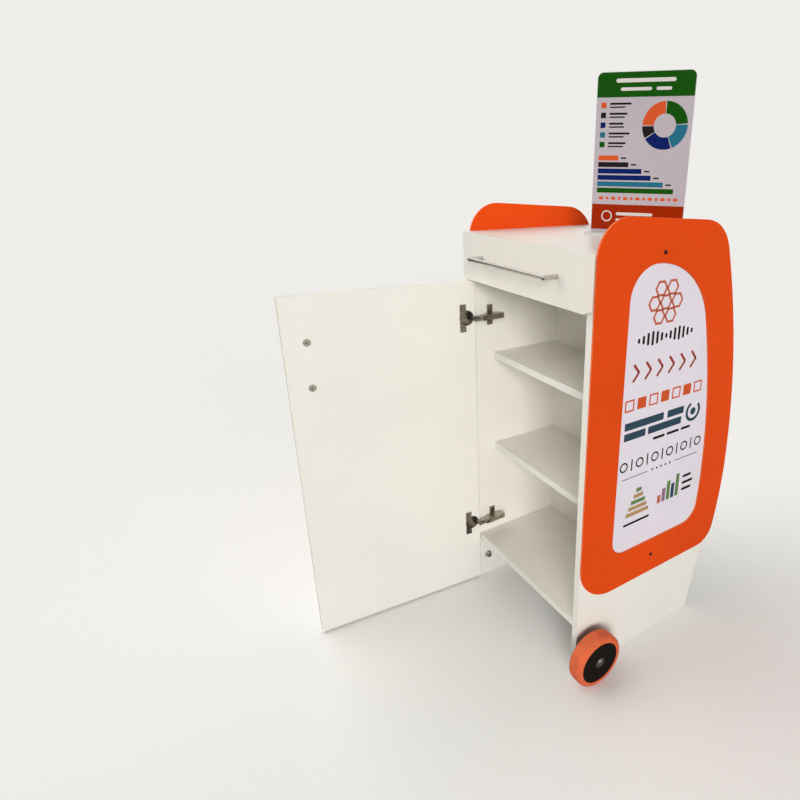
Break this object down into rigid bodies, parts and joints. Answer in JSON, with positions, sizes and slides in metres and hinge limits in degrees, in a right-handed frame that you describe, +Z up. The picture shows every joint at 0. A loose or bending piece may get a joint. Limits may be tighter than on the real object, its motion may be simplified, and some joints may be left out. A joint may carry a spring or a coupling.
{
  "type": "promotional display cart",
  "caption": "white promotional cart with orange bowed sides, operator-side drawer and hinged cupboard door, wheels at one edge, display bays with a clear shield and a sign on the worktop",
  "frame": {"origin": "middle of the outer box at floor level, with the door as shown standing open", "axes": "+Z up; +Y from the operator's side, where the door and drawer are, to the customer's side; +X to the operator's right"},
  "size_m": [0.5334, 0.8558, 1.224],
  "materials": {
    "white_board": "melamine, satin",
    "front_board": "melamine, satin",
    "orange_sheet": "satin",
    "print_sheet": "satin print",
    "clear_sheet": "clear polished",
    "opal_sheet": "satin opal",
    "brushed_steel": "brushed",
    "nickel": "dull nickel",
    "zinc_steel": "zinc plated",
    "dark_screw": "blackened",
    "orange_tyre": "matte",
    "black_hub": "matte moulded",
    "sign_sheet": "satin print"
  },
  "bodies": {
    "cart": {"side_panel_left": "white_board", "side_panel_right": "white_board", "top_board": "white_board", "bottom_board": "white_board", "divider": "white_board", "plinth": "white_board", "storage_shelf_lower": "white_board", "storage_shelf_upper": "white_board", "display_shelf_lower": "white_board", "display_shelf_upper": "white_board", "shield": "clear_sheet", "edge_studs": "dark_screw", "overlay_left": "orange_sheet", "overlay_right": "orange_sheet", "insert_left": "print_sheet", "insert_right": "print_sheet", "overlay_screws": "dark_screw", "runner_channel_left": "zinc_steel", "runner_channel_right": "zinc_steel", "hinge_arms": "nickel", "hinge_plates": "nickel", "plate_screws": "zinc_steel", "arm_screws": "zinc_steel", "axle_bolt_left": "zinc_steel", "axle_bolt_right": "zinc_steel", "axle_spacers": "zinc_steel", "axle_nuts": "zinc_steel"},
    "drawer": {"drawer_front": "front_board", "drawer_side_left": "white_board", "drawer_side_right": "white_board", "drawer_back": "white_board", "drawer_bottom": "white_board", "runner_slide_left": "zinc_steel", "runner_slide_right": "zinc_steel", "drawer_handle": "brushed_steel", "drawer_handle_screws": "zinc_steel"},
    "door": {"door_panel": "white_board", "hinge_cups": "nickel", "cup_screws": "zinc_steel", "door_handle": "brushed_steel", "door_handle_screws": "zinc_steel"},
    "outer_link_pair": {"outer_links": "nickel"},
    "inner_link_pair": {"inner_links": "nickel"},
    "wheel_left": {"tyre_left": "orange_tyre", "hub_left": "black_hub"},
    "wheel_right": {"tyre_right": "orange_tyre", "hub_right": "black_hub"},
    "sign": {"sign_board": "sign_sheet", "sign_foot": "opal_sheet"}
  },
  "joints": [
    {"name": "door_swing", "type": "hinge", "parent": "outer_link_pair", "child": "door", "pos_m": [-0.18729, -0.02421, 0.45], "axis": [0, 0, -1], "range_deg": [-115.9, 12.2]},
    {"name": "outer_link_swing", "type": "hinge", "parent": "cart", "child": "outer_link_pair", "pos_m": [-0.17175, 0.00292, 0.45], "axis": [0, 0, -1], "range_deg": [-2.3, 21]},
    {"name": "inner_link_swing", "type": "hinge", "parent": "cart", "child": "inner_link_pair", "pos_m": [-0.17175, -0.02108, 0.45], "axis": [0, 0, -1], "range_deg": [-2.5, 23.3]},
    {"name": "drawer_slide", "type": "slide", "parent": "cart", "child": "drawer", "axis": [0, -1, 0], "range_m": [0, 0.15]},
    {"name": "wheel_left_spin", "type": "hinge", "parent": "cart", "child": "wheel_left", "pos_m": [-0.24085, 0.01092, 0.06], "axis": [1, 0, 0], "continuous": true},
    {"name": "wheel_right_spin", "type": "hinge", "parent": "cart", "child": "wheel_right", "pos_m": [0.24535, 0.01092, 0.06], "axis": [1, 0, 0], "continuous": true},
    {"name": "sign_lift", "type": "slide", "parent": "cart", "child": "sign", "axis": [0, 0, 1], "range_m": [0, 0.1]}
  ],
  "couplings": [
    {"joint": "outer_link_swing", "follows": "door_swing", "ratio": -0.18033},
    {"joint": "inner_link_swing", "follows": "door_swing", "ratio": -0.20057}
  ]
}
